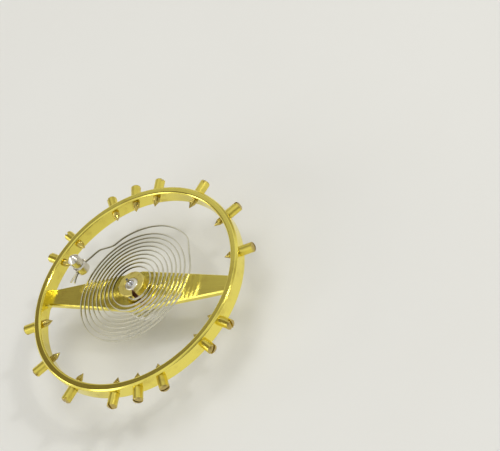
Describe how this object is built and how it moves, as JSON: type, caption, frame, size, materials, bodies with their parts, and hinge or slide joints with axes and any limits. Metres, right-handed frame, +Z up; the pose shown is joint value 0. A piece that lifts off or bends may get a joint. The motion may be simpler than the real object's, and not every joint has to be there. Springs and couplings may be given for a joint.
{
  "type": "watch balance wheel",
  "caption": "Watch balance wheel: screwed rim on two tapering arms, staff with pivots, double roller with jewel, and a flat hairspring pinned to collet and stud.",
  "frame": {"origin": "tip of the lower pivot, on the staff's axis", "axes": "+Z up the staff towards the upper pivot, +X along one arm of the wheel"},
  "size_m": [0.0096, 0.0098, 0.003],
  "materials": {
    "wheel_brass": "satin gilt faces with bright bevels",
    "screw_brass": "turned and polished",
    "collet_brass": "satin",
    "pin_brass": "drawn taper pin",
    "staff_steel": "hardened, polished pivots",
    "spring_steel": "bright rolled strip",
    "stud_steel": "polished",
    "roller_steel": "polished",
    "jewel_ruby": "polished synthetic ruby"
  },
  "bodies": {
    "stud": {"hairspring_stud": "stud_steel", "stud_pin": "pin_brass", "hairspring": "spring_steel"},
    "balance": {"balance_wheel": "wheel_brass", "balance_staff": "staff_steel", "collet": "collet_brass", "collet_pin": "pin_brass", "roller_table": "roller_steel", "impulse_jewel": "jewel_ruby", "rim_screw_01": "screw_brass", "rim_screw_02": "screw_brass", "rim_screw_03": "screw_brass", "rim_screw_04": "screw_brass", "rim_screw_05": "screw_brass", "rim_screw_06": "screw_brass", "rim_screw_07": "screw_brass", "rim_screw_08": "screw_brass", "rim_screw_09": "screw_brass", "rim_screw_10": "screw_brass", "rim_screw_11": "screw_brass", "rim_screw_12": "screw_brass", "rim_screw_13": "screw_brass", "rim_screw_14": "screw_brass", "rim_screw_15": "screw_brass", "rim_screw_16": "screw_brass"}
  },
  "joints": [
    {"name": "balance_swing", "type": "hinge", "parent": "stud", "child": "balance", "pos_m": [0, 0, 0.00135], "axis": [0, 0, 1], "range_deg": [-270, 270], "stiffness_Nm_per_rad": 0.00000025, "deforming": ["hairspring"]}
  ]
}
